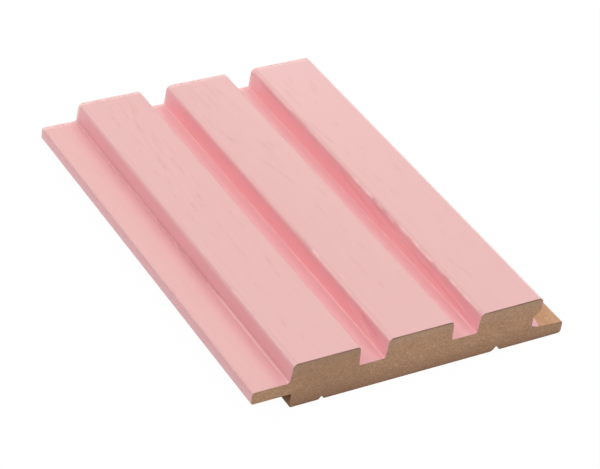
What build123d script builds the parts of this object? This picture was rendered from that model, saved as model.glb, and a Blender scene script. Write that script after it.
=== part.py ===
"""Slatted wall panel, milled from one length of medium-density fibreboard.

The whole panel has one section, which is drawn here as a single outline with its corners rounded
and then extruded along the ribs. All sizes are in millimetres. X runs across the panel, from the
edge of the thin lip to the tip of the tongue. Y runs along the ribs, and Z goes up from the back of
the panel to the painted tops of the ribs. The origin is in the middle of the back.
"""

import os

from build123d import *

# The board
length = 162.0  # from one sawn end to the other
thickness = 18.0  # from the back to the tops of the ribs

# Ribs and grooves
rib_count = 3
pitch = 36.0  # from the foot of one rib to the foot of the next
groove_width = 9.7  # flat floor between two ribs
groove_depth = 7.8  # rib tops down to the groove floors
left_lean = 0.7  # how far the flank that faces the lip leans back over its height
right_lean = 0.4  # the same on the flank that faces the tongue
left_rib_radius = 2.0  # along the top edge of a rib on the lip's side
right_rib_radius = 1.5  # along its top edge on the tongue's side
outer_radius = 1.8  # along the top edge of the outer face
foot_radius = 0.4  # left by the cutter where a flank meets a groove floor
last_rib_width = 25.9  # foot of the last rib to its upright outer face

# The lip, which covers the tongue of the next panel
lip_reach = 13.7  # edge of the lip to the foot of the first rib
lip_rise = 0.4  # how much higher its top is than the groove floors
lip_thickness = 4.9
lip_radius = 1.0
lip_foot_radius = 0.9  # where the top of the lip meets the first rib
back_radius = 0.5  # along the edge of the back beside the rebate

# The recess under the outer face of the last rib, which takes the lip of the next panel
recess_depth = 2.7  # outer face back to the recess wall
bevel_drop = 0.2  # start of the slope below the top of the lip, whose edge is rounded there
bevel_rise = 2.3  # height of the slope between recess and outer face
nose_radius = 1.0  # where the slope meets the outer face
recess_radius = 0.8  # where the slope meets the recess wall

# The tongue
tongue_reach = 13.1  # recess wall to the tip
tongue_play = 1.8  # gap left between the tip and the rebate wall of the next panel
joint_gap = 0.1  # tongue top to the lip that covers it
tongue_fall = 0.7  # how much lower the top is at the tip
seat_width = 2.5  # sloping strip at the foot of the recess wall
seat_rise = 0.8  # how much higher the top is at that wall
tongue_edge_radius = 0.8  # along the top edge of its tip
tongue_toe_radius = 1.4  # along the bottom edge of its tip

# Two relief grooves along the back, the one nearer the lip smaller than the other
relief_spacing = 68.4  # between their centre lines, evenly about the middle
small_relief_width = 2.1
small_relief_depth = 1.25
small_relief_radius = 0.5  # along its edge nearer the lip
large_relief_width = 3.0
large_relief_depth = 1.9
large_relief_radius = 2.2  # along its edge nearer the lip, which is well rounded
relief_sharp_radius = 0.3  # along the edge nearer the tongue, on both

# Heights
floor_z = thickness - groove_depth
lip_top_z = floor_z + lip_rise
lip_underside_z = lip_top_z - lip_thickness
recess_top_z = lip_top_z - bevel_drop
tongue_top_z = lip_underside_z - joint_gap

# Places across the panel, measured from the edge of the lip
rebate_wall = tongue_reach + tongue_play
outer_face = lip_reach + (rib_count - 1) * pitch + last_rib_width
recess_wall = outer_face - recess_depth
tongue_tip = recess_wall + tongue_reach
middle = tongue_tip / 2


def relief_groove(centre, width, depth, left_radius):
    """The three corners of one V groove in the back, from left to right."""
    return [
        (centre - width / 2, 0, left_radius),
        (centre, depth, 0),
        (centre + width / 2, 0, relief_sharp_radius),
    ]


def tongue_and_recess():
    """The corners of the right edge, from the back up to the top of the last rib."""
    return [
        (tongue_tip, 0, tongue_toe_radius),
        (tongue_tip, tongue_top_z - tongue_fall, tongue_edge_radius),
        (recess_wall + seat_width, tongue_top_z, 0),
        (recess_wall, tongue_top_z + seat_rise, 0),
        (recess_wall, recess_top_z, recess_radius),
        (outer_face, recess_top_z + bevel_rise, nose_radius),
        (outer_face, thickness, outer_radius),
    ]


def left_flank(number):
    """The flank of one rib that faces the lip: its top corner, then its foot."""
    foot = lip_reach + number * pitch
    corner = (foot, lip_top_z, lip_foot_radius) if number == 0 else (foot, floor_z, foot_radius)
    return [(foot + left_lean, thickness, left_rib_radius), corner]


def right_flank(number):
    """The flank of one rib that faces the tongue: its foot, then its top corner."""
    foot = lip_reach + (number + 1) * pitch - groove_width
    return [(foot, floor_z, foot_radius), (foot - right_lean, thickness, right_rib_radius)]


def ribs():
    """The corners of the painted face, from the last rib back to the first."""
    corners = left_flank(rib_count - 1)
    for number in reversed(range(rib_count - 1)):
        corners += right_flank(number) + left_flank(number)
    return corners


def lip():
    """The corners of the left edge, from the top of the lip down to the back."""
    return [
        (0, lip_top_z, lip_radius),
        (0, lip_underside_z, lip_radius),
        (rebate_wall, lip_underside_z, 0),
        (rebate_wall, 0, back_radius),
    ]


def section():
    """The panel's outline as a face in the XZ plane, with X measured from the middle."""
    half = relief_spacing / 2
    small = relief_groove(middle - half, small_relief_width, small_relief_depth, small_relief_radius)
    large = relief_groove(middle + half, large_relief_width, large_relief_depth, large_relief_radius)
    corners = small + large + tongue_and_recess() + ribs() + lip()
    with BuildSketch(Plane.XZ) as outline:
        with BuildLine():
            FilletPolyline(
                [(x - middle, z) for x, z, radius in corners],
                radius=[radius for x, z, radius in corners],
                close=True,
            )
        make_face()
    return outline.sketch


wall_panel = extrude(section(), amount=length / 2, both=True)

os.makedirs("parts", exist_ok=True)
export_step(wall_panel, "parts/wall_panel.step")
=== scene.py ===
# %% [markdown]
# A slatted wall panel, pink over bare fibreboard
#
# The panel is one length of medium-density fibreboard. A cutter has left three flat ribs with
# grooves between them, a thin lip along the left edge, and a tongue along the right edge that the
# next panel's lip covers. The ribbed face has a matt pink coat. The sawn ends, the back and the
# tongue are bare board.
#
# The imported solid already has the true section. This lesson takes that section, builds a finer
# mesh from it that can carry the coat's relief, and then makes the coat, the board and the light.

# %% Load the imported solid
import bmesh
import bpy
import math
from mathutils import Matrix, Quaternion, Vector, noise


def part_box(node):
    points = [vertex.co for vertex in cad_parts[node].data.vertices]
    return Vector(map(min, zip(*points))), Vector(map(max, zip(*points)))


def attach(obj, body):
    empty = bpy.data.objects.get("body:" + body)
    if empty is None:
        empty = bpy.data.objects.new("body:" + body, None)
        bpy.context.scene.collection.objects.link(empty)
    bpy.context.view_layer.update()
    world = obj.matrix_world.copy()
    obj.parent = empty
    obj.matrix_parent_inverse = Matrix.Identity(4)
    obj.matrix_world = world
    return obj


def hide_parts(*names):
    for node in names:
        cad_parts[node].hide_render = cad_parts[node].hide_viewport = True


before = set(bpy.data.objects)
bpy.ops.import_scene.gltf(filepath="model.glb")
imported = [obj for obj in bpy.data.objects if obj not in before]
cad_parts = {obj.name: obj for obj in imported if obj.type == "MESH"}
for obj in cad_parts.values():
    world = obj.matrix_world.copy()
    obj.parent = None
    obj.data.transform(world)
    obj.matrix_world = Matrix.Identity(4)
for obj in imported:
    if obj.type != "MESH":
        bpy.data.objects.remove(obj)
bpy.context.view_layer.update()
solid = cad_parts["wall_panel"]
low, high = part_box("wall_panel")
MM = 0.001
print("panel", [round(side / MM, 1) for side in high - low], "mm")

# %% [markdown]
# The view
#
# The camera looks down on the panel from the lip's side, across the near sawn end. A long lens
# from 80 cm keeps the ribs nearly parallel, as a product photographer would. It was held a little
# askew, so after it is aimed it is also turned about its own axis.

# %% Camera
camera_place = Vector((-373.24, -564.01, 483.54)) * MM
camera_aim = Vector((-2.91, -9.11, 9.0)) * MM
camera_askew = math.radians(7.63)
film_width = 36.0
lens_length = 140.39

bpy.ops.object.select_all(action="DESELECT")
bpy.ops.object.camera_add(location=camera_place)
camera = bpy.context.object
camera.name = "view_camera"
aimed = (camera_aim - camera_place).to_track_quat("-Z", "Y")
camera.rotation_euler = (aimed @ Quaternion((0, 0, 1), camera_askew)).to_euler()
camera.data.sensor_width = film_width
camera.data.lens = lens_length
camera.data.clip_start = 10 * MM
bpy.context.scene.camera = camera
print("camera", round((camera_aim - camera_place).length / MM), "mm from the panel")

# %% [markdown]
# Small helpers
#
# Blender's operators act on whatever is selected, so every step starts by choosing one object and
# then the vertices, edges or faces that a rule picks out. A few more helpers add shader nodes, so
# that each finish below reads as a short recipe.

# %% Choosing what an operator acts on
def choose(piece):
    """Make one object the only selected and the active one."""
    bpy.ops.object.select_all(action="DESELECT")
    piece.select_set(True)
    bpy.context.view_layer.objects.active = piece


def pick(piece, kind, rule):
    """In edit mode, select the verts, edges or faces for which the rule holds, and count them."""
    bpy.ops.mesh.select_mode(type={"verts": "VERT", "edges": "EDGE", "faces": "FACE"}[kind])
    bpy.ops.mesh.select_all(action="DESELECT")
    mesh = bmesh.from_edit_mesh(piece.data)
    count = 0
    for part in getattr(mesh, kind):
        if rule(part):
            part.select_set(True)
            count += 1
    mesh.select_flush_mode()
    bmesh.update_edit_mesh(piece.data)
    return count


# %% Adding shader nodes
def put(tree, kind, wires=None, **settings):
    """Add a node, set its settings, and fill its inputs with sockets or plain values."""
    node = tree.nodes.new(kind)
    for name, value in settings.items():
        setattr(node, name, value)
    for name, value in (wires or {}).items():
        if isinstance(value, bpy.types.NodeSocket):
            tree.links.new(value, node.inputs[name])
        else:
            node.inputs[name].default_value = value
    return node


def calc(tree, operation, *values):
    """One Math node on sockets or numbers."""
    inputs = {place: value for place, value in enumerate(values)}
    return put(tree, "ShaderNodeMath", inputs, operation=operation).outputs[0]


# %% Mixing colours
def rgb(red, green, blue):
    """A screen colour, 0 to 255, as the linear colour that shader sockets hold."""
    linear = []
    for part in (red, green, blue):
        part = part / 255
        linear.append(part / 12.92 if part <= 0.04045 else ((part + 0.055) / 1.055) ** 2.4)
    return (*linear, 1)


def blend_colour(tree, share, first, second):
    """Mix two colours by a share from 0 to 1."""
    mix = put(tree, "ShaderNodeMix", data_type="RGBA")
    # A Mix node has sockets for every kind of value, and its colours are at these places
    share_in, first_in, second_in, colour_out = mix.inputs[0], mix.inputs[6], mix.inputs[7], mix.outputs[2]
    for socket, value in ((share_in, share), (first_in, first), (second_in, second)):
        if isinstance(value, bpy.types.NodeSocket):
            tree.links.new(value, socket)
        else:
            socket.default_value = value
    return colour_out


def lay_over(tree, ground, colour, mask, most):
    """Lay a colour over the ground where the mask says, by no more than the share most."""
    return blend_colour(tree, calc(tree, "MULTIPLY", mask, most), ground, colour)


# %% [markdown]
# The light
#
# The photograph shows soft light from all sides and no hard shadow. One large lamp right above
# would be quicker, but it can't set the two flanks of a rib apart. So eight round lamps stand in a
# ring, 47 degrees up, and each is as strong as its side needs. The strongest are in front, on the
# left and on the right. Three more lamps stand low on the right and behind, and give the rib tops
# their faint sheen. A dim white world fills in the rest.

# %% Lamps
ring_watts = [2.8, 1.1, 1.6, 3.4, 1.6, 1.0, 4.2, 0.5]
ring_step = 360 / len(ring_watts)
ring_up = 47
ring_size = 0.7


def soft_lamp(name, around, up, size, watts, away=1.2):
    """A round lamp turned to the panel. Around goes from +X towards +Y, in degrees as up is."""
    turn, rise = math.radians(around), math.radians(up)
    towards = Vector((math.cos(rise) * math.cos(turn), math.cos(rise) * math.sin(turn), math.sin(rise)))
    bpy.ops.object.light_add(type="AREA", location=away * towards)
    lamp = bpy.context.object
    lamp.name = name
    lamp.rotation_euler = (-towards).to_track_quat("-Z", "Y").to_euler()
    lamp.data.shape = "DISK"
    lamp.data.size = size
    lamp.data.energy = watts
    print(name, watts, "W")


for number, watts in enumerate(ring_watts):
    soft_lamp(f"ring_lamp_{number + 1}", (number + 0.5) * ring_step, ring_up, ring_size, watts)
soft_lamp("right_lamp", around=20, up=10, size=0.5, watts=1.8)
soft_lamp("back_right_lamp", around=68, up=10, size=0.5, watts=0.43)
soft_lamp("back_lamp", around=112, up=24, size=0.35, watts=0.63, away=0.7)

# %% White world
world_light = 0.1


def seen_rays(tree):
    """1 for the rays that show a background: straight from the camera, in a gloss or through glass."""
    ray = put(tree, "ShaderNodeLightPath").outputs
    shown = calc(tree, "MAXIMUM", ray["Is Camera Ray"], ray["Is Glossy Ray"])
    return calc(tree, "MAXIMUM", shown, ray["Is Transmission Ray"])


world = bpy.data.worlds.new("white_studio")
world.use_nodes = True
tree = world.node_tree
strength = calc(tree, "MAXIMUM", seen_rays(tree), world_light)
sky = tree.nodes["Background"]
sky.inputs["Color"].default_value = (1, 1, 1, 1)
tree.links.new(strength, sky.inputs["Strength"])
bpy.context.scene.world = world
bpy.context.scene.view_settings.view_transform = "Standard"
print("world lights the panel at", world_light, "and looks plain white")

# %% [markdown]
# The floor
#
# The panel lies on white paper that vanishes into a white background. The camera sees the paper
# almost as a plain white glow, and only a small share of its real shading, so the background
# stays white and the panel still stands on a faint shadow. All other rays see ordinary paper, which
# sends soft light back up to the lip and the sawn end.

# %% Paper floor
paper_side = 8.0
paper_gap = 0.02 * MM
paper_white = (0.8, 0.8, 0.8, 1)
paper_glow = 1.01
glow_share = 0.97

bpy.ops.mesh.primitive_plane_add(size=paper_side, location=(0, 0, low.z - paper_gap))
floor = bpy.context.object
floor.name = "paper_floor"
paper = bpy.data.materials.new("white_paper")
paper.use_nodes = True
tree = paper.node_tree
tree.nodes.clear()
shaded = put(tree, "ShaderNodeBsdfDiffuse", {"Color": paper_white})
glow = put(tree, "ShaderNodeEmission", {"Strength": paper_glow})
seen = calc(tree, "MULTIPLY", seen_rays(tree), glow_share)
paper_mix = put(tree, "ShaderNodeMixShader", {0: seen, 1: shaded.outputs[0], 2: glow.outputs[0]})
put(tree, "ShaderNodeOutputMaterial", {"Surface": paper_mix.outputs[0]})
floor.data.materials.append(paper)
print("paper", paper_side, "m square,", round(paper_gap / MM, 2), "mm under the panel")

# %% [markdown]
# The panel's section
#
# A milled panel has one section from end to end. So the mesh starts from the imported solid: a copy
# of its mesh has its doubled vertices merged, and everything but the rim of the near end is
# deleted. That rim is the cutter's profile. It could be drawn again from numbers, but the copy
# can't drift from the real solid.

# %% Keep only the near rim
hair = 0.01 * MM  # places closer than this count as the same
doubled = 0.001 * MM  # vertices closer than this are merged

panel = bpy.data.objects.new("coated_panel", solid.data.copy())
bpy.context.collection.objects.link(panel)
panel.data.name = "coated_panel"
panel.data.materials.clear()

choose(panel)
bpy.ops.object.mode_set(mode="EDIT")
bpy.ops.mesh.select_all(action="SELECT")
bpy.ops.mesh.remove_doubles(threshold=doubled)
pick(panel, "verts", lambda vert: vert.co.y > low.y + hair)
bpy.ops.mesh.delete(type="VERT")
bpy.ops.mesh.select_all(action="SELECT")
bpy.ops.mesh.dissolve_limited(angle_limit=math.radians(1))
bpy.ops.mesh.select_all(action="SELECT")
bpy.ops.mesh.delete(type="ONLY_FACE")
rim_edges = pick(panel, "edges", lambda edge: True)
print("rim of", rim_edges, "edges")

# %% [markdown]
# Room for relief
#
# The rim has long edges where the section is flat. The coated ones are cut into short stretches,
# fine enough to hold pores and cutter lines. The bare back stays in long edges, because nothing
# there needs them. The sizes of the section say which edge is which.

# %% Section sizes
floor_z = 10.2 * MM
lip_top_z = 10.6 * MM
lip_underside_z = 5.7 * MM
rib_count = 3
rib_pitch = 36.0 * MM
first_foot = low.x + 13.7 * MM
flank_lean = 0.7 * MM
foot_radius = 0.4 * MM
outer_face = low.x + 111.6 * MM
recess_wall = outer_face - 2.7 * MM
recess_top_z = 10.4 * MM
seat_top_z = 6.4 * MM
rebate_wall = low.x + 14.9 * MM
feet = [first_foot + number * rib_pitch for number in range(rib_count)]
print("ribs start", [round((foot - low.x) / MM, 1) for foot in feet], "mm from the lip's edge")

# %% How fine each stretch is
top_stretch = 0.3 * MM
flank_stretch = 0.35 * MM
lip_edge_stretch = 0.4 * MM
joint_stretch = 1.5 * MM
back_stretch = 12.0 * MM
back_band = 1.0 * MM


def middle(edge):
    """The middle of an edge."""
    return sum((vert.co for vert in edge.verts), Vector()) / len(edge.verts)


def stretch_for(edge):
    """How short the pieces of this edge of the rim are to be."""
    place = middle(edge)
    level = abs(edge.verts[0].co.z - edge.verts[1].co.z) < hair
    if level and place.z > floor_z - hair:
        return top_stretch
    if place.z > floor_z and place.x < outer_face - hair:
        return flank_stretch
    if place.x < low.x + hair:
        return lip_edge_stretch
    in_joint = place.x > outer_face or place.z > back_band
    return joint_stretch if in_joint else back_stretch


# %% Cut the long edges
mesh = bmesh.from_edit_mesh(panel.data)
wanted = {}
for edge in mesh.edges:
    cuts = math.ceil(edge.calc_length() / stretch_for(edge)) - 1
    if cuts > 0:
        wanted.setdefault(cuts, []).append(middle(edge))
for cuts, places in wanted.items():
    pick(panel, "edges", lambda edge: any((middle(edge) - place).length < hair for place in places))
    bpy.ops.mesh.subdivide(number_cuts=cuts)
rim_edges = pick(panel, "edges", lambda edge: True)
print("rim cut into", rim_edges, "edges")

# %% [markdown]
# Pull the section along the ribs
#
# The rim is extruded to the far end, which makes one long strip of face for each edge. The strips
# are then cut across in two rounds, because one round makes at most a hundred cuts.

# %% Extrude and cut into rows
coarse_rows = 10
fine_rows = 14

bpy.ops.mesh.select_all(action="SELECT")
bpy.ops.mesh.extrude_region_move(TRANSFORM_OT_translate={"value": (0, high.y - low.y, 0)})


def runs_along(edge):
    """Whether an edge lies along the ribs."""
    first, second = (vert.co for vert in edge.verts)
    return abs(first.y - second.y) > hair


for rows in (coarse_rows, fine_rows):
    pick(panel, "edges", runs_along)
    bpy.ops.mesh.subdivide(number_cuts=rows - 1)
row_length = (high.y - low.y) / (coarse_rows * fine_rows)
print("rows of", round(row_length / MM, 2), "mm")

# %% [markdown]
# Close the sawn ends
#
# Each end is one flat face with the outline of the section. A narrow inset then gives the coat its
# own strip around the edge: where a saw cuts through a painted board, the film shows as a thin
# coloured line. The strip is only as wide as the film is thick.

# %% Cap both ends
coat_thickness = 0.12 * MM

for end_y in (low.y, high.y):
    pick(panel, "verts", lambda vert: abs(vert.co.y - end_y) < hair)
    bpy.ops.mesh.edge_face_add()
bpy.ops.mesh.select_all(action="SELECT")
bpy.ops.mesh.normals_make_consistent(inside=False)
caps = pick(panel, "faces", lambda face: len(face.verts) > 4)
bpy.ops.mesh.inset(thickness=coat_thickness, use_boundary=True)
bpy.ops.object.mode_set(mode="OBJECT")
print("ends closed:", caps, "and faces in all:", len(panel.data.polygons))

# %% [markdown]
# A pattern shared by all bare board
#
# Fibreboard is wood ground to fibres and pressed with resin. Close up it is a fine mottle of tan and
# brown, in soft patches a few millimetres wide, with single lighter and darker fibre bundles.
# The sawn ends and the milled faces show the same stuff in different shades, so the pattern
# is a node group with its colours as inputs.

# %% Groups, noise and masks
def new_group(name, inputs, outputs):
    """An empty node group with named inputs and outputs."""
    group = bpy.data.node_groups.new(name, "ShaderNodeTree")
    for label, kind in inputs:
        group.interface.new_socket(name=label, in_out="INPUT", socket_type="NodeSocket" + kind)
    for label, kind in outputs:
        group.interface.new_socket(name=label, in_out="OUTPUT", socket_type="NodeSocket" + kind)
    return group, put(group, "NodeGroupInput").outputs, put(group, "NodeGroupOutput").inputs


def grey_noise(tree, where, size, detail=2.0, roughness=0.5):
    """Noise whose soft blots are about as wide as size."""
    wires = {"Vector": where, "Scale": 0.5 / size, "Detail": detail, "Roughness": roughness}
    return put(tree, "ShaderNodeTexNoise", wires).outputs["Fac"]


def spread(tree, value, empty, full):
    """Stretch a value so that empty becomes 0 and full becomes 1."""
    wires = {"Value": value, "From Min": empty, "From Max": full}
    return put(tree, "ShaderNodeMapRange", wires, clamp=True).outputs["Result"]


def blots(tree, where, size, empty, full, **grades):
    """Noise as a mask: 0 where it is under empty, and 1 where it is over full."""
    return spread(tree, grey_noise(tree, where, size, **grades), empty, full)


# %% Board fibres
patch_size = 3.5 * MM
bundle_size = 0.42 * MM
fibre_size = 0.4 * MM
fleck_size = 0.9 * MM
patch_share = 0.16
fibre_share = 0.36
bundle_share = 0.48
flattened = (1.0, 1.0, 1.5)  # fibres lie flat in the board, so the pattern is pressed in Z

board_fibres, given, made = new_group(
    "board_fibres",
    [("Vector", "Vector"), ("Light", "Color"), ("Dark", "Color"), ("Fleck", "Color"), ("Flecks", "Float")],
    [("Color", "Color"), ("Height", "Float")],
)
tree = board_fibres
lying = put(tree, "ShaderNodeMapping", {"Vector": given["Vector"], "Scale": flattened}).outputs[0]
patches = blots(tree, lying, patch_size, empty=0.3, full=0.7)
cells = put(tree, "ShaderNodeTexVoronoi", {"Vector": lying, "Scale": 1 / bundle_size}).outputs["Color"]
bundles = put(tree, "ShaderNodeSeparateColor", {"Color": cells}).outputs["Red"]
fibres = blots(tree, lying, fibre_size, empty=0.3, full=0.7, roughness=0.6)

patch_part = calc(tree, "MULTIPLY", patches, patch_share)
fibre_part = calc(tree, "MULTIPLY", fibres, fibre_share)
bundle_part = calc(tree, "MULTIPLY", bundles, bundle_share)
mottle = calc(tree, "ADD", calc(tree, "ADD", patch_part, fibre_part), bundle_part)
ground_wood = blend_colour(tree, mottle, given["Dark"], given["Light"])
flecks = blots(tree, lying, fleck_size, empty=0.62, full=0.72)
flecked = lay_over(tree, ground_wood, given["Fleck"], flecks, given["Flecks"])
tree.links.new(flecked, made["Color"])
tree.links.new(fibres, made["Height"])
print("board_fibres has", len(tree.nodes), "nodes")

# %% [markdown]
# The pressed skin of the board, and painted shade at its back
#
# A board is pressed hardest at its two faces. A sawn end is therefore darkest in a hairline just
# under the rib tops, where the coat's solvent has soaked in too, and is a little greyer below that.
# It darkens again towards the back, partly from that pressed skin and partly from painted shade near
# the floor. The grooves were milled later, and they cut below that skin and show no line. Three
# masks follow from the height alone. A fourth marks a darker, browner patch on the end under the
# first rib.

# %% Skin masks
line_patch = 5 * MM  # the hairline fades in stretches about this long
line_start, line_full = high.z - 0.9 * MM, high.z - 0.35 * MM
top_start, top_full = high.z - 5.5 * MM, high.z - 1.0 * MM
# Towards the back the end darkens from its hard-pressed skin and from painted shade near the floor.
back_start, back_full = low.z + 8.0 * MM, low.z
back_curve = 1.5  # above 1, so that it darkens slowly at first
strip_start, strip_full = low.z + 1.6 * MM, low.z + 0.4 * MM
strip_share = 0.35
# A darker, browner patch on the sawn end under the first rib.
dark_patch_middle = low.x + 27.0 * MM
dark_patch_reach, dark_patch_full = 19.0 * MM, 7.0 * MM

board_skin, given, made = new_group(
    "board_skin",
    [("Vector", "Vector")],
    [("Line", "Float"), ("Top", "Float"), ("Back", "Float"), ("DarkPatch", "Float")],
)
tree = board_skin
axes = put(tree, "ShaderNodeSeparateXYZ", {"Vector": given["Vector"]}).outputs
height = axes["Z"]
broken = blots(tree, given["Vector"], line_patch, empty=0.1, full=0.6)
line = calc(tree, "MULTIPLY", spread(tree, height, line_start, line_full), broken)
top_skin = spread(tree, height, top_start, top_full)
back_skin_and_shade = calc(tree, "POWER", spread(tree, height, back_start, back_full), back_curve)
last_strip = calc(tree, "MULTIPLY", spread(tree, height, strip_start, strip_full), strip_share)
from_dark_patch = calc(tree, "ABSOLUTE", calc(tree, "SUBTRACT", axes["X"], dark_patch_middle))
tree.links.new(line, made["Line"])
tree.links.new(top_skin, made["Top"])
tree.links.new(calc(tree, "ADD", back_skin_and_shade, last_strip), made["Back"])
tree.links.new(spread(tree, from_dark_patch, dark_patch_reach, dark_patch_full), made["DarkPatch"])
print("board_skin has", len(tree.nodes), "nodes")

# %% [markdown]
# The pink coat
#
# The coat is matt, with a slight even grain. Its colour is a little uneven, as sprayed paint is:
# there are faint clouds in it, and a fainter grain drawn out along the ribs. It is deeper where it
# has pooled in a pore, and tan where a pore is half bare. The saw has frayed it to a pale fringe at
# the far end, and the last rib's outer edge is rubbed. Light is painted into the coat as well: a
# warmer pink in the grooves and on the flanks is painted bounce light, and pale and deep strokes
# are painted highlights and shade. All of this is gentle: the strong changes of colour between
# ribs and grooves come mostly from light bouncing between pink walls.
#
# An image could hold all this, but it would blur close up. So the even parts are noise, and what
# lies in one place only is kept as a value on the mesh's vertices, which later cells fill in.

# %% Coat colours
coat_colour = rgb(233, 182, 179)
# The groove pink is painted bounce light and shade: warmer and bluer, for light bouncing between pink
# walls in the grooves and on the flanks.
groove_bounce_pink = rgb(247, 182, 187)
# The deep pink serves the clouds, the pores and painted shade; the pale pink serves painted highlights and
# rubbed edges.
coat_deep = rgb(206, 122, 128)
coat_pale = rgb(252, 208, 206)
coat_frayed = rgb(255, 223, 216)
half_bare_pore = rgb(212, 156, 136)


def new_finish(name):
    """A material with its node tree, its Principled BSDF and the place on the panel."""
    finish = bpy.data.materials.new(name)
    finish.use_nodes = True
    tree = finish.node_tree
    where = put(tree, "ShaderNodeTexCoord").outputs["Object"]
    return finish, tree, tree.nodes["Principled BSDF"], where


def kept_value(tree, name):
    """A value that the mesh keeps for each vertex."""
    return put(tree, "ShaderNodeAttribute", attribute_name=name).outputs["Fac"]


coat, tree, surface, where = new_finish("pink_coat")
print("coat colour", [round(part, 2) for part in coat_colour[:3]])

# %% Clouds and grain in the coat
cloud_size, cloud_share = 0.6 * MM, 0.04
grain_size, grain_share = 1.3 * MM, 0.05
grain_stretch = (1.0, 0.15, 1.0)  # the grain is drawn out along the ribs

# Painted bounce light: the coat turns to the groove pink by each vertex's kept share of it.
coat_tone = blend_colour(tree, kept_value(tree, "bounce_tinted"), coat_colour, groove_bounce_pink)
clouds = blots(tree, where, cloud_size, empty=0.35, full=0.65, detail=4.0, roughness=0.7)
drawn_out = put(tree, "ShaderNodeMapping", {"Vector": where, "Scale": grain_stretch}).outputs[0]
grain = blots(tree, drawn_out, grain_size, empty=0.42, full=0.68, detail=3.0, roughness=0.6)
cloud_part = calc(tree, "MULTIPLY", clouds, cloud_share)
grain_part = calc(tree, "MULTIPLY", grain, grain_share)
uneven = blend_colour(tree, calc(tree, "ADD", cloud_part, grain_part), coat_tone, coat_deep)
print("ground of the coat:", len(tree.nodes), "nodes")

# %% Painted highlights and shade, and coat in pores
pink_pore_share = 0.22
brown_pore_share = 0.3

# Painted highlights and shade, with a little real rubbing: above zero the coat turns pale, below zero
# deep.
paling = kept_value(tree, "painted_light_and_wear")
paled = blend_colour(tree, calc(tree, "MAXIMUM", paling, 0.0), uneven, coat_pale)
deepening = calc(tree, "MAXIMUM", calc(tree, "MULTIPLY", paling, -1.0), 0.0)
deepened = blend_colour(tree, deepening, paled, coat_deep)
pooled = lay_over(tree, deepened, coat_deep, kept_value(tree, "pink_pores"), pink_pore_share)
in_pores = lay_over(tree, pooled, half_bare_pore, kept_value(tree, "brown_pores"), brown_pore_share)
print("with wear and pores:", len(tree.nodes), "nodes")

# %% Frayed far end and rubbed outer edge
fray_size, fray_share = 0.7 * MM, 0.6
fray_start, fray_full = high.y - 2.0 * MM, high.y - 1.0 * MM
rub_share = 0.45
rub_start_x, rub_full_x = outer_face - 1.7 * MM, outer_face - 0.8 * MM
rub_start_z, rub_full_z = high.z - 1.8 * MM, high.z - 0.9 * MM

axes = put(tree, "ShaderNodeSeparateXYZ", {"Vector": where}).outputs
torn = blots(tree, where, fray_size, empty=0.35, full=0.6)
at_far_end = calc(tree, "MULTIPLY", spread(tree, axes["Y"], fray_start, fray_full), torn)
across_edge = spread(tree, axes["X"], rub_start_x, rub_full_x)
at_outer_edge = calc(tree, "MULTIPLY", across_edge, spread(tree, axes["Z"], rub_start_z, rub_full_z))
fray_part = calc(tree, "MULTIPLY", at_far_end, fray_share)
rub_part = calc(tree, "MULTIPLY", at_outer_edge, rub_share)
frayed = blend_colour(tree, calc(tree, "MAXIMUM", fray_part, rub_part), in_pores, coat_frayed)
tree.links.new(frayed, surface.inputs["Base Color"])
print("frayed over", round((high.y - fray_start) / MM, 1), "mm at the far end")

# %% Feel of the coat
coat_roughness = 0.4
stipple_size = 0.25 * MM
stipple_height = 0.02 * MM
stipple_share = 0.12

surface.inputs["Roughness"].default_value = coat_roughness
stipple = grey_noise(tree, where, stipple_size, detail=1.0)
bump_wires = {"Height": stipple, "Strength": stipple_share, "Distance": stipple_height}
bump = put(tree, "ShaderNodeBump", bump_wires)
tree.links.new(bump.outputs["Normal"], surface.inputs["Normal"])
print("pink_coat has", len(tree.nodes), "nodes")

# %% [markdown]
# Sawn and milled board
#
# A saw tears the fibres, so the ends look darker and duller than the tongue, which a cutter
# has shaved smooth. Two things on the milled faces depend on place: pink dust from the spray gun
# lies on the foot of the tongue, and painted shade darkens the rebate under the lip towards its
# inner corner. Both are masks worked out from the place on the panel, so they need no picture
# and stay sharp.

# %% Overspray on the tongue
spray_reach = recess_wall + 2.3 * MM
widening_run = 6 * MM
widening_reach = 1.4 * MM
ragged_size = 0.7 * MM
ragged_reach = 1.6 * MM
spray_blur = 0.1 * MM
spray_floor_z = 4.0 * MM  # below the tongue's top, so that its underside stays bare

overspray, given, made = new_group("overspray", [("Vector", "Vector")], [("Mask", "Float")])
tree = overspray
axes = put(tree, "ShaderNodeSeparateXYZ", {"Vector": given["Vector"]}).outputs
widening = calc(tree, "MULTIPLY", spread(tree, axes["Y"], low.y, low.y + widening_run), widening_reach)
ragged_noise = grey_noise(tree, given["Vector"], ragged_size, detail=3.0, roughness=0.7)
ragged = calc(tree, "MULTIPLY", ragged_noise, ragged_reach)
border = calc(tree, "ADD", calc(tree, "ADD", widening, ragged), spray_reach)
inside = spread(tree, calc(tree, "SUBTRACT", axes["X"], border), spray_blur, -spray_blur)
beyond_wall = calc(tree, "GREATER_THAN", axes["X"], recess_wall - hair)
above_back = calc(tree, "GREATER_THAN", axes["Z"], spray_floor_z)
below_slope = calc(tree, "LESS_THAN", axes["Z"], recess_top_z)
on_seat = calc(tree, "MULTIPLY", calc(tree, "MULTIPLY", beyond_wall, above_back), below_slope)
tree.links.new(calc(tree, "MULTIPLY", inside, on_seat), made["Mask"])
print("overspray reaches about", round((spray_reach - recess_wall + ragged_reach / 2) / MM, 1), "mm")

# %% Painted shade in the rebate
# Painted shade: the milled board under the lip is darkened towards the rebate's inner corner.
shade_wall = rebate_wall + 0.2 * MM
shade_start = low.z - 1.0 * MM
shade_full = lip_underside_z - 0.5 * MM

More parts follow.
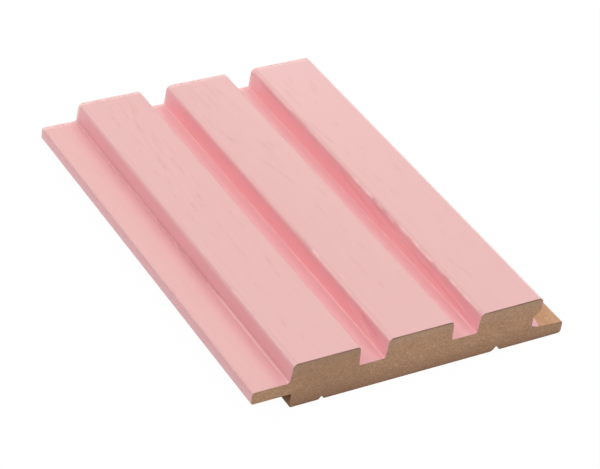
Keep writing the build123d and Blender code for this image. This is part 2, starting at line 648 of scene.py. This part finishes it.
rebate_shade, given, made = new_group("rebate_shade", [("Vector", "Vector")], [("Mask", "Float")])
tree = rebate_shade
axes = put(tree, "ShaderNodeSeparateXYZ", {"Vector": given["Vector"]}).outputs
in_rebate = calc(tree, "LESS_THAN", axes["X"], shade_wall)
towards_corner = spread(tree, axes["Z"], shade_start, shade_full)
tree.links.new(calc(tree, "MULTIPLY", in_rebate, towards_corner), made["Mask"])
print("rebate_shade has", len(tree.nodes), "nodes")

# %% Bare board
fleck_amount = 0.5
fibre_bump = 0.5
board_roughness = 0.85
board_shine = 0.3


def bare_board(name, light, dark, fleck, relief):
    """A dull finish in three shades of board, with its fibres raised by relief."""
    finish, tree, surface, where = new_finish(name)
    wires = {"Vector": where, "Light": light, "Dark": dark, "Fleck": fleck, "Flecks": fleck_amount}
    fibres = put(tree, "ShaderNodeGroup", wires, node_tree=board_fibres).outputs
    bump_wires = {"Height": fibres["Height"], "Strength": fibre_bump, "Distance": relief}
    bump = put(tree, "ShaderNodeBump", bump_wires)
    tree.links.new(bump.outputs["Normal"], surface.inputs["Normal"])
    surface.inputs["Roughness"].default_value = board_roughness
    surface.inputs["Specular IOR Level"].default_value = board_shine
    return finish, tree, surface, fibres["Color"], where


# %% Sawn ends
sawn_light = rgb(220, 176, 141)
sawn_dark = rgb(162, 124, 97)
sawn_fleck = rgb(222, 184, 148)
skin_grey = rgb(186, 160, 140)
skin_line = rgb(108, 74, 70)
back_brown = rgb(140, 104, 84)
# The brown of the patch under the first rib.
dark_patch_brown = rgb(134, 98, 70)

sawn, tree, surface, wood, where = bare_board(
    "sawn_board", light=sawn_light, dark=sawn_dark, fleck=sawn_fleck, relief=0.05 * MM
)
skin = put(tree, "ShaderNodeGroup", {"Vector": where}, node_tree=board_skin).outputs
greyer = lay_over(tree, wood, skin_grey, skin["Top"], most=0.3)
lined = lay_over(tree, greyer, skin_line, skin["Line"], most=0.75)
# Darker towards the back: the hard-pressed skin, and painted shade near the floor.
pressed = lay_over(tree, lined, back_brown, skin["Back"], most=0.4)
# A darker, browner patch under the first rib.
with_dark_patch = lay_over(tree, pressed, dark_patch_brown, skin["DarkPatch"], most=0.2)
tree.links.new(with_dark_patch, surface.inputs["Base Color"])
print("sawn_board has", len(tree.nodes), "nodes")

# %% Milled faces
milled_light = rgb(228, 182, 142)
milled_dark = rgb(196, 150, 112)
milled_fleck = rgb(236, 200, 160)
pink_dust = rgb(248, 200, 206)
# The brown of the painted shade in the rebate.
rebate_shade_brown = rgb(112, 54, 30)

milled, tree, surface, wood, where = bare_board(
    "milled_board", light=milled_light, dark=milled_dark, fleck=milled_fleck, relief=0.03 * MM
)
dusty = put(tree, "ShaderNodeGroup", {"Vector": where}, node_tree=overspray).outputs["Mask"]
dusted = blend_colour(tree, dusty, wood, pink_dust)
# Painted shade under the lip, laid over the milled board.
rebate_shaded = put(tree, "ShaderNodeGroup", {"Vector": where}, node_tree=rebate_shade).outputs["Mask"]
darkened = lay_over(tree, dusted, rebate_shade_brown, rebate_shaded, most=0.9)
tree.links.new(darkened, surface.inputs["Base Color"])
print("finishes", [finish.name for finish in (coat, sawn, milled)])

# %% [markdown]
# Which faces are coated
#
# The sprayer covered the ribbed face, the lip's edge, and, through the open recess, the wall behind
# the tongue. The seat at the foot of that wall is only dusted, which the milled finish sees to.
# Everything else stayed bare. Each face gets its finish from where it lies on the section, which
# takes a few lines, where painting the faces by hand would have to be done again after each change.

# %% Sort the faces into finishes
COAT, SAWN, MILLED = 0, 1, 2
lip_curl = 3.0 * MM  # how far the spray curled round the lip's edge
slope_top_z = recess_top_z + 2.4 * MM


def is_coated(place):
    """Whether the sprayer reached this place on the section."""
    if place.z > slope_top_z:
        return True
    if place.x > recess_wall - coat_thickness:
        return place.x < recess_wall + hair and place.z > seat_top_z - hair
    if place.x < low.x + lip_curl:
        return True
    return place.z > floor_z - coat_thickness - hair


for finish in (coat, sawn, milled):
    panel.data.materials.append(finish)
counts = [0, 0, 0]
for face in panel.data.polygons:
    on_end = abs(face.normal.y) > 0.9
    whole_end = len(face.vertices) > 4  # all other faces have four corners
    if is_coated(face.center) and not whole_end:
        finish = COAT
    else:
        finish = SAWN if on_end else MILLED
    face.material_index = finish
    counts[finish] += 1
print("coated, sawn and milled faces:", counts)

# %% [markdown]
# Pores under the coat
#
# A faint wood grain shows through the coat as long fine pores. How it came onto a fibreboard can't
# be seen, but a thin embossed paper under the paint is one way. Bump alone would be quicker, but
# these are shapes that a finger can feel, so the longer ones are cut into the mesh. Each is a listed
# line, broken up along its length. How deep a vertex sits in a pore is also kept on it, and the
# coat's colour reads that value.

# %% Pink pores in mm: first end across from the lip's edge and along, last end, then strength
pink_pores = [
    (24.2, 9, 24.2, 14, 0.5), (25.1, 27, 25.0, 38, 0.4), (23.0, 38, 23.0, 44, 0.5),
    (32.7, 41, 33.7, 56, 0.8), (34.7, 71, 34.8, 83, 0.8), (22.9, 67, 22.9, 75, 0.6),
    (27.2, 55, 27.5, 81, 0.6), (24.0, 85, 24.2, 94, 1.0), (26.6, 86, 26.9, 97, 1.0),
    (28.2, 87, 28.9, 97, 1.0), (20.7, 95, 20.7, 101, 0.7), (24.9, 97, 25.0, 107, 0.5),
    (30.1, 107, 30.4, 120, 1.0), (26.1, 106, 27.0, 136, 0.6), (21.3, 109, 21.3, 114, 0.6),
    (21.7, 123, 21.8, 127, 1.0), (30.7, 125, 30.6, 137, 0.6), (63.0, 25, 63.0, 29, 1.0),
    (61.1, 31, 61.0, 47, 0.5), (68.0, 46, 68.0, 51, 0.7), (67.1, 55, 67.0, 63, 0.5),
    (65.3, 65, 65.1, 78, 0.6), (64.7, 88, 60.5, 108, 1.0), (57.4, 118, 54.4, 130, 1.3),
    (54.2, 129, 53.6, 140, 0.9), (66.6, 110, 65.4, 117, 1.1), (66.7, 104, 66.7, 109, 0.6),
    (65.8, 130, 65.2, 134, 0.9), (64.2, 147, 64.0, 160, 0.7), (71.1, 78, 71.1, 84, 1.0),
    (72.3, 25, 72.2, 33, 0.6), (95.1, 17, 92.0, 32, 0.8), (95.3, 70, 95.2, 75, 0.7),
    (94.6, 78, 94.4, 84, 0.7), (93.3, 87, 93.1, 90, 0.6), (92.1, 97, 91.9, 102, 0.8),
    (91.0, 105, 88.1, 126, 1.0), (98.2, 116, 98.1, 120, 0.9), (97.6, 131, 97.6, 134, 0.7),
    (104.7, 82, 104.6, 88, 0.6), (98.8, 42, 98.7, 47, 0.5), (20.5, 81, 20.5, 88, 0.6),
    (29.0, 121, 29.3, 134, 0.6), (23.6, 128, 24.0, 139, 0.6), (32.6, 118, 33.0, 132, 0.5),
    (25.2, 112, 25.6, 121, 0.8), (28.0, 136, 28.3, 147, 0.6), (22.6, 101, 23.0, 110, 0.5),
    (31.8, 96, 32.2, 108, 0.5), (69.5, 132, 66.4, 156, 0.5), (67.6, 129, 68.5, 134, 0.6),
    (68.5, 111, 68.0, 117, 0.9), (61.5, 142, 60.8, 156, 0.6), (58.6, 141, 58.0, 158, 0.7),
    (56.0, 146, 55.6, 157, 0.5), (63.6, 130, 62.4, 144, 0.5), (103.5, 140, 103.3, 150, 0.5),
    (91.6, 132, 91.2, 146, 0.6), (94.2, 139, 93.8, 152, 0.6), (99.0, 97, 98.8, 106, 0.5),
    (87.6, 134, 87.2, 150, 0.6),
]
print("pink pores", len(pink_pores))

# %% Brown pores, half bare, given in the same way
brown_pores = [
    (21.7, 18, 21.8, 24, 1.0), (26.7, 136, 33.2, 159, 1.0), (21.8, 142, 22.1, 151, 1.1),
    (27.3, 146, 28.2, 159, 1.0), (23.5, 151, 23.6, 157, 0.8), (30.9, 146, 33.4, 156, 0.8),
    (96.4, 147, 96.3, 152, 0.7), (101.7, 137, 101.5, 145, 0.8),
]
print("brown pores", len(brown_pores))

# %% The shape of one pore
pore_width = 0.55 * MM
pore_depth = 0.04 * MM
pore_wander = 0.35 * MM
wander_run = 5 * MM
gap_run = 2.5 * MM  # a pore breaks up over stretches about this long
gap_level, gap_contrast = 0.6, 1.4
least_in_gap = 0.35
end_taper = 6  # each end fades in over a sixth of the pore
soft_reach = 2.5  # how many half widths a soft line reaches to each side


def smooth(share):
    """0 up to 0, 1 from 1 on, and a soft S between them."""
    share = min(1.0, max(0.0, share))
    return share * share * (3 - 2 * share)


def pore_at(x, y, line):
    """From 0 beside a pore line to its strength on its middle, with gaps along it."""
    x0, y0, x1, y1, strength = line
    along = (y - y0) / (y1 - y0)
    if not 0.0 < along < 1.0:
        return 0.0
    wander = pore_wander * noise.noise(Vector((y / wander_run, x0 / MM, 0.0)))
    away = abs(x - (x0 + (x1 - x0) * along) - wander) / pore_width
    if away > soft_reach:
        return 0.0
    gaps = smooth(gap_level + gap_contrast * noise.noise(Vector((y / gap_run, x0 / MM, 7.0))))
    ends = smooth(along * end_taper) * smooth((1 - along) * end_taper)
    return strength * math.exp(-away * away) * (least_in_gap + (1 - least_in_gap) * gaps) * ends


# %% [markdown]
# Painted bounce light, highlights and shade in the coat
#
# Sprayed paint isn't one even colour, and light is painted into this coat too. It is painted warmer
# in the grooves and on the flanks, for light bouncing between pink walls, paler where an edge or a
# foot catches a highlight, and deeper where shade falls. A little of the paling is real: ragged and
# rubbed edges. Every vertex keeps two values for this, which the coat's colour reads: its share of
# painted bounce light, and its paling, which is above zero where the coat is painted paler and below
# zero where it is painted deeper. The paling follows a list of soft strokes, as a painter would
# touch up a model from life.

# %% Painted bounce light in the grooves
groove_bounce_tint = 0.6
lip_edge_band = 0.5 * MM
lip_edge_start, lip_edge_fade = lip_top_z - 0.3 * MM, 1.0 * MM
lip_start, lip_fade = low.x + 6.0 * MM, 6.0 * MM
flank_start, flank_fade = high.z - 0.2 * MM, 1.4 * MM


def bounce_tint_share(place):
    """The share of painted bounce light: from 0 on the open tops to 1 on the flanks and beside their feet.
    """
    if place.x > outer_face - hair:
        return 0.0
    if place.x < low.x + lip_edge_band:
        return smooth((lip_edge_start - place.z) / lip_edge_fade)
    if place.x < first_foot - hair:
        return groove_bounce_tint * smooth((place.x - lip_start) / lip_fade)
    if place.z > floor_z + foot_radius:
        return smooth((flank_start - place.z) / flank_fade)
    return groove_bounce_tint


# Each vertex keeps its share of painted bounce light.
bounce_tinted = panel.data.attributes.new("bounce_tinted", "FLOAT", "POINT")
for vert in panel.data.vertices:
    bounce_tinted.data[vert.index].value = bounce_tint_share(vert.co)
most_bounce_tinted = sum(1 for kept in bounce_tinted.data if kept.value > groove_bounce_tint)
print("vertices on sheltered flanks:", most_bounce_tinted)

# %% [markdown]
# The strokes
#
# A stroke is a soft line on a rib: pale where it has a strength above zero, deep where it is
# below. Its two ends are given in millimetres as a place along the rib, across from the rib's foot,
# and above the back. Most strokes run straight along: on the rounded left edges they paint the
# highlight that the rounding catches, and along the feet they paint a highlight near the sawn end
# and shade further back.
# An image would need a flat layout of the panel first, and a stroke only needs its two ends.

# %% Strokes on the rounded edges
far_end = 162
edge_radius = 2.0
edge_middle_across = 2.53
edge_middle_height = 16.0
strokes = []


def along_rib(rib, start, end, across, height, width, strength):
    """Add a stroke that runs straight along a rib, with the width it has to each side."""
    strokes.append((rib, (start, across, height), (end, across, height), width, strength))


def on_edge(angle):
    """A place on a rib's left rounding: across from its foot, and the height."""
    turned = math.radians(angle)
    across = edge_middle_across - edge_radius * math.cos(turned)
    return across, edge_middle_height + edge_radius * math.sin(turned)


# Painted highlights on the rounded left edges; the few strokes below zero are painted shade.
# Rib, start, end, angle up the rounding, half width, strength
edge_strokes = [
    (0, 0, 42, 47, 0.28, 0.75), (0, 40, far_end, 55, 0.35, 0.12), (1, 0, 48, 45, 0.28, 0.85),
    (1, 49, 52, 52, 0.40, 0.90), (1, 52, 64, 50, 0.35, -0.25), (1, 64, far_end, 55, 0.35, 0.10),
    (2, 4, 15, 45, 0.28, 0.95), (2, 15, 33, 50, 0.28, 0.40), (2, 33, 42, 40, 0.40, 0.85),
    (2, 42, 55, 50, 0.30, 0.45), (2, 55, 72, 48, 0.40, -0.30), (2, 73, 85, 42, 0.35, 0.65),
    (2, 85, 120, 50, 0.35, 0.05), (2, 120, 131, 46, 0.40, -0.35), (2, 133, 146, 50, 0.35, 0.30),
]
for rib, start, end, angle, width, strength in edge_strokes:
    along_rib(rib, start, end, *on_edge(angle), width, strength)
print("strokes on the edges", len(strokes))

# %% Strokes along the feet and the groove floors
foot_across, foot_height = 0.1, 10.4
beside_across, beside_height = -1.1, 10.2

# Painted highlight along the feet near the sawn end, painted shade beside them, and deeper painted shade
# on the feet further back.
for rib, start, end, strength in ((1, 0, 48, 0.28), (1, 49, 94, -0.08), (2, 0, 27, 0.22)):
    along_rib(rib, start, end, foot_across, foot_height, 0.35, strength)
    along_rib(rib, start, end, beside_across, beside_height, 0.45, -0.06)
for rib, start in ((1, 94), (2, 64)):
    along_rib(rib, start, far_end, foot_across, foot_height, 0.45, -0.20)

# Painted highlights and shade on the lip's foot, the flanks and the groove floors.
# Rib, start, end, across, height, half width, strength
straight_strokes = [
    (0, 0, 46, -0.4, 10.75, 0.35, 0.26), (0, 0, 70, 0.1, 11.4, 0.70, -0.14),
    (0, 60, far_end, -0.7, 10.65, 0.60, -0.15), (0, 50, far_end, -0.1, 11.05, 0.45, -0.28),
    (0, 50, far_end, -0.4, 10.75, 0.45, -0.26), (2, 37, 60, 0.1, 10.4, 0.35, 0.05),
    (1, 0, far_end, -0.4, 10.5, 1.00, 0.14), (2, 0, far_end, -0.4, 10.5, 1.00, 0.12),
    (1, 0, far_end, -3.9, 10.2, 1.20, 0.22), (2, 0, 130, 0.4, 15.9, 0.60, 0.14),
    (2, 0, 28, 0.9, 16.9, 0.40, -0.15), (2, 60, far_end, 0.7, 16.7, 0.80, -0.15),
]
for stroke in straight_strokes:
    along_rib(*stroke)
print("strokes so far", len(strokes))

# %% The flanks pale towards the far sawn end
# Painted light: the flanks are painted paler near the far end, where light reaches them past the open end.
for rib, start, strength in ((0, 157, 0.15), (1, 157, 0.12), (2, 155, 0.18)):
    along_rib(rib, start, far_end, across=0.3, height=14.0, width=4.0, strength=strength)
print("strokes so far", len(strokes))

# %% [markdown]
# None of these marks is cut into the mesh: the strokes paint the highlights and shade that they catch, and
# a broad pale band on the second groove's floor is painted light.
# Slanting strokes, streaks and chips
#
# The cutter wasn't held quite evenly. It left lines on the groove floors, where two passes met, and
# slanting marks on the near halves of the second and third ribs. On the third rib these go with a
# row of thin streaks, and its top edge is ragged with short chips. Single marks are listed one by one.
# The rows are loops, whose heights are scattered so that no repeat shows.

# %% Slanting strokes: rib, both ends as along, across and height, half width, strength
# Painted highlights and shade for the cutter's marks, and a broad band of painted light on the floor of
# the second groove.
strokes += [
    (1, (0, -2.5, 10.2), (80, -2.4, 10.2), 0.35, 0.14),
    (2, (0, -2.3, 10.2), (105, -2.2, 10.2), 0.35, 0.16),
    (2, (0, -3.9, 10.2), (far_end, -3.4, 10.2), 1.40, 0.38),
    (1, (7, 0.1, 10.8), (15, 0.2, 12.2), 0.35, 0.65),
    (1, (12, 0.1, 12.4), (25, 0.4, 14.6), 0.35, 0.60),
    (1, (16, 0.2, 14.2), (27, 0.5, 16.6), 0.35, 0.45),
    (1, (7, 0.1, 14.4), (17, 0.4, 15.6), 0.60, -0.25),
    (2, (7, 0.1, 10.8), (25, 0.1, 11.6), 0.40, 0.30),
    (2, (18, 0.1, 11.8), (33, 0.2, 12.8), 0.40, 0.20),
    (2, (8, 0.4, 15.8), (34, 0.5, 16.4), 0.80, -0.12),
    (2, (47, 0.1, 10.8), (62, 0.2, 12.6), 0.40, 0.30),
    (2, (34, 0.3, 15.2), (54, 0.4, 14.8), 0.60, 0.35),
    (2, (54, 0.4, 15.8), (71, 0.5, 16.4), 0.80, -0.15),
    (2, (71, 0.4, 15.8), (87, 0.5, 16.0), 0.60, 0.25),
]
print("strokes so far", len(strokes))

# %% Streaks and chips on the last rib
last_rib = rib_count - 1
streak_count = 17
first_streak, streak_step = 4, 5
streak_run, streak_rise = 9, 1.3
streak_low, streak_spread = 11.0, 3.2
chip_count = 20
first_chip, chip_step = 5, 4.1
chip_run = 1.8
chip_low, chip_spread = 30, 24  # degrees up the rounding


def scattered(number):
    """A share from 0 to 1 that jumps about as the number goes up."""
    return 0.62 * number % 1


# The streaks are painted highlights and shade, alternating pale and deep.
for number in range(streak_count):
    start = first_streak + streak_step * number
    height = streak_low + streak_spread * scattered(number)
    strength = 0.55 if number % 2 else -0.30
    ends = (start, 0.2, height), (start + streak_run, 0.3, height + streak_rise)
    strokes.append((last_rib, *ends, 0.25, strength))
# The edge is ragged; its chips are painted as alternating highlights and shade on the rounding.
for number in range(chip_count):
    start = first_chip + chip_step * number
    angle = chip_low + chip_spread * scattered(number)
    strength = 0.45 if number % 2 else -0.25
    along_rib(last_rib, start, start + chip_run, *on_edge(angle), 0.35, strength)
print("strokes in all", len(strokes))

# %% Place the strokes on the panel
def on_panel(rib, along, across, height):
    """The point that a place in millimetres by a rib stands for."""
    return Vector((feet[rib] + across * MM, low.y + along * MM, height * MM))


placed_strokes = [
    (on_panel(rib, *first), on_panel(rib, *last), width * MM, strength)
    for rib, first, last, width, strength in strokes
]
longest = max((last - first).length for first, last, width, strength in placed_strokes)
print("longest stroke", round(longest / MM), "mm")

# %% [markdown]
# Painted light on the coat, and its rubbed outer edge
#
# The paling of a vertex is the sum of every stroke near it and of three broad changes: a painted
# sheen makes the tops paler towards the far right, the outer edge of the last rib is thin, and the
# lip's edge has a deep band of painted shade low down with a painted highlight line above it.

# %% Broad changes
outer_edge_thin = 0.7
outer_edge_z = high.z - 2.2 * MM
outer_edge_start, outer_edge_fade = outer_face - 2.0 * MM, 1.0 * MM
# A painted sheen on the tops.
tops_sheen = 0.35
tops_shift = 0.35  # share of the half width by which the paling starts left of the middle
# Painted shade low on the lip's edge, and a painted highlight line above it.
lip_edge_change = 0.3
lip_edge_x = low.x + 0.3 * MM
deep_band_top, deep_band_fade = lip_underside_z + 1.2 * MM, 0.8 * MM
pale_line_z, pale_line_width = lip_underside_z + 1.9 * MM, 0.6 * MM


def outer_edge_wear(place):
    """Thin on the outer edge of the last rib."""
    if place.z < outer_edge_z:
        return 0.0
    return outer_edge_thin * smooth((place.x - outer_edge_start) / outer_edge_fade)


def tops_painted_sheen(place):
    """A painted sheen, paler on the tops towards the far right corner."""
    if place.z < high.z - hair:
        return 0.0
    to_the_right = smooth(place.x / high.x + tops_shift)
    return tops_sheen * to_the_right * (place.y - low.y) / (high.y - low.y)


def lip_edge_painted_light(place):
    """On the lip's edge, a painted highlight line above a deep band of painted shade."""
    if place.x > lip_edge_x:
        return 0.0
    deep_band = smooth((deep_band_top - place.z) / deep_band_fade)
    pale_line = math.exp(-(((place.z - pale_line_z) / pale_line_width) ** 2))
    return lip_edge_change * (pale_line - deep_band)


# %% Painted light, and some rubbing, from the strokes
stroke_fade = 1.5 * MM
break_run = 3.0 * MM
break_share = 0.5
sideways_slack = 1.0 * MM  # a slanting stroke ends less than this across from its start


def stroke_share(place, first, last, width):
    """1 on a stroke's line, fading to 0 to its sides and at its ends."""
    line = last - first
    along = (place - first).dot(line) / line.length_squared
    beyond = max(0.0, -along, along - 1.0) * line.length
    if beyond > stroke_fade:
        return 0.0
    away = (place - first - along * line).length / width
    if away > soft_reach:
        return 0.0
    return math.exp(-away * away) * smooth(1.0 - beyond / stroke_fade)


def stroke_light_and_wear(place):
    """The sum of the strokes near a place, each broken up along its length."""
    total = 0.0
    for first, last, width, strength in placed_strokes:
        if abs(place.x - first.x) < soft_reach * width + sideways_slack:
            broken = noise.noise(Vector((place.y / break_run, first.x / MM, 3.0)))
            total += strength * (1.0 + break_share * broken) * stroke_share(place, first, last, width)
    return total


# Each vertex keeps its painted highlights, shade and sheen, with a little real rubbing, as one value.
painted_light_and_wear = panel.data.attributes.new("painted_light_and_wear", "FLOAT", "POINT")
for vert in panel.data.vertices:
    place = vert.co
    broad = outer_edge_wear(place) + tops_painted_sheen(place) + lip_edge_painted_light(place)
    painted_light_and_wear.data[vert.index].value = broad + stroke_light_and_wear(place)
values = [kept.value for kept in painted_light_and_wear.data]
print("wear from", round(min(values), 2), "to", round(max(values), 2))

# %% Press the pores in
def press_pores(name, lines):
    """Sink every line into the tops, and keep how deep each vertex lies under the given name."""
    placed = [
        (low.x + x0 * MM, low.y + y0 * MM, low.x + x1 * MM, low.y + y1 * MM, strength)
        for x0, y0, x1, y1, strength in lines
    ]
    depths = panel.data.attributes.new(name, "FLOAT", "POINT")
    deepest = 0.0
    for vert in panel.data.vertices:
        if vert.co.z > high.z - 2 * pore_depth and abs(vert.co.y) < high.y - hair:
            depth = max(pore_at(vert.co.x, vert.co.y, line) for line in placed)
            depths.data[vert.index].value = depth
            vert.co.z -= pore_depth * depth
            deepest = max(deepest, depth)
    print(name, "down to", round(deepest * pore_depth / MM, 3), "mm")


press_pores("pink_pores", pink_pores)
press_pores("brown_pores", brown_pores)

# %% [markdown]
# Worn spots along the ribs' edges
#
# A cutter never leaves a perfectly even rounding, and sanding takes a little more off in places.
# On the second and third ribs the left edge has such soft spots, and one small knock. Vertices
# near the edge are moved inwards by a fraction of a millimetre.

# %% Soft spots: rib, place along, half length and depth, in mm
soft_spots = [
    (1, 51.0, 2.2, 0.16), (1, 24.0, 9.0, 0.05), (2, 2.0, 2.5, 0.08), (2, 10.0, 5.0, 0.05),
    (2, 37.5, 5.0, 0.17), (2, 53.0, 7.0, 0.07), (2, 79.0, 7.0, 0.11), (2, 140.0, 8.0, 0.11),
]
edge_reach = 2.6 * MM
edge_band = 4 * MM
rough_run = 1.1 * MM
rough_share = 1.2
inwards = Vector((1, 0, -1)).normalized()

moved = 0
for vert in panel.data.vertices:
    place = vert.co
    if place.z < high.z - edge_band or abs(place.y) > high.y - hair:
        continue
    for rib, along, half, depth in soft_spots:
        away = math.hypot(place.x - feet[rib] - flank_lean, place.z - high.z) / edge_reach
        beside = abs(place.y - low.y - along * MM) / (half * MM)
        if away < 1 and beside < 1:
            rough = 1 + rough_share * noise.noise(Vector((place.y / rough_run, rib, 0.0)))
            vert.co += depth * MM * smooth(1 - away) * smooth(1 - beside) * rough * inwards
            moved += 1
print("vertices in worn spots:", moved)

# %% [markdown]
# Round edges smooth, corners sharp
#
# The cutter's roundings are made of narrow facets. Smooth shading hides them, but it would also
# smear the light around the sawn ends. So only edges that turn by less than 30 degrees are smoothed.

# %% Smooth the roundings
choose(panel)
bpy.ops.object.shade_smooth_by_angle(angle=math.radians(30))
triangles = sum(len(face.vertices) - 2 for face in panel.data.polygons)
print("triangles", triangles)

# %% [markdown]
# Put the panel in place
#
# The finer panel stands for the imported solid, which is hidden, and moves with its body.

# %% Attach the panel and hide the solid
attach(panel, "root")
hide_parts("wall_panel")
